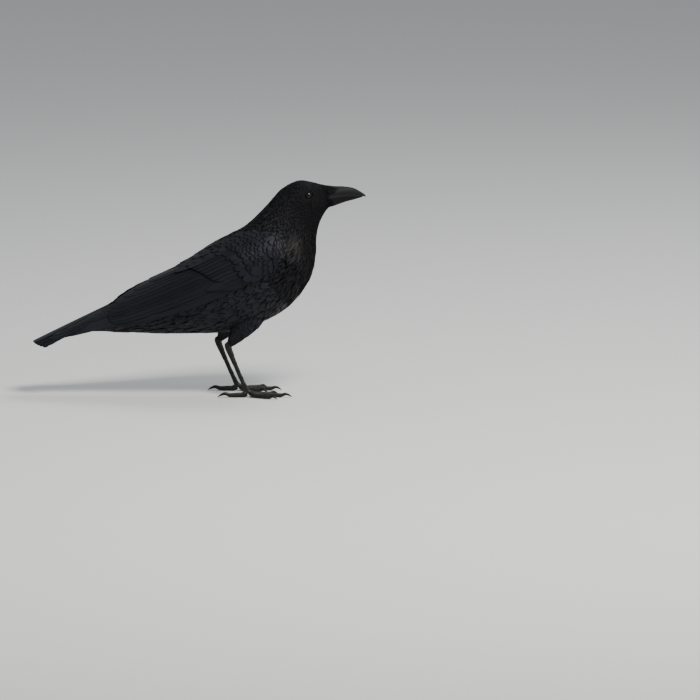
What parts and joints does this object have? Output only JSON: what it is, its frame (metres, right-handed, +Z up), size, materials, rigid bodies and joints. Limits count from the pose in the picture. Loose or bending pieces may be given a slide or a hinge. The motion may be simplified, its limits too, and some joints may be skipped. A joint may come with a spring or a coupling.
{
  "type": "crow",
  "caption": "Life-size still model of a standing black crow, back sloping to the tail, head raised and bill pointing forward, wings folded.",
  "frame": {"origin": "on the floor, at the middle of the whole bird's box in plan", "axes": "+X the way the bird faces, from the tail to the bill; +Y its left side; +Z up"},
  "size_m": [0.4112, 0.113, 0.2663],
  "materials": {
    "plumage": "satin",
    "flight_feathers": "satin",
    "bill": "satin",
    "leg": "satin",
    "claw": "gloss",
    "eye": "gloss"
  },
  "bodies": {
    "root": {"head": "plumage", "neck": "plumage", "trunk": "plumage", "tail": "flight_feathers", "bill_upper": "bill", "bill_lower": "bill", "eye_left": "eye", "wing_left": "flight_feathers", "wing_tip_left": "flight_feathers", "thigh_left": "plumage", "shank_left": "leg", "toe_hallux_left": "leg", "claw_hallux_left": "claw", "toe_inner_left": "leg", "claw_inner_left": "claw", "toe_middle_left": "leg", "claw_middle_left": "claw", "toe_outer_left": "leg", "claw_outer_left": "claw", "eye_right": "eye", "wing_right": "flight_feathers", "wing_tip_right": "flight_feathers", "thigh_right": "plumage", "shank_right": "leg", "toe_hallux_right": "leg", "claw_hallux_right": "claw", "toe_inner_right": "leg", "claw_inner_right": "claw", "toe_middle_right": "leg", "claw_middle_right": "claw", "toe_outer_right": "leg", "claw_outer_right": "claw"}
  },
  "joints": []
}
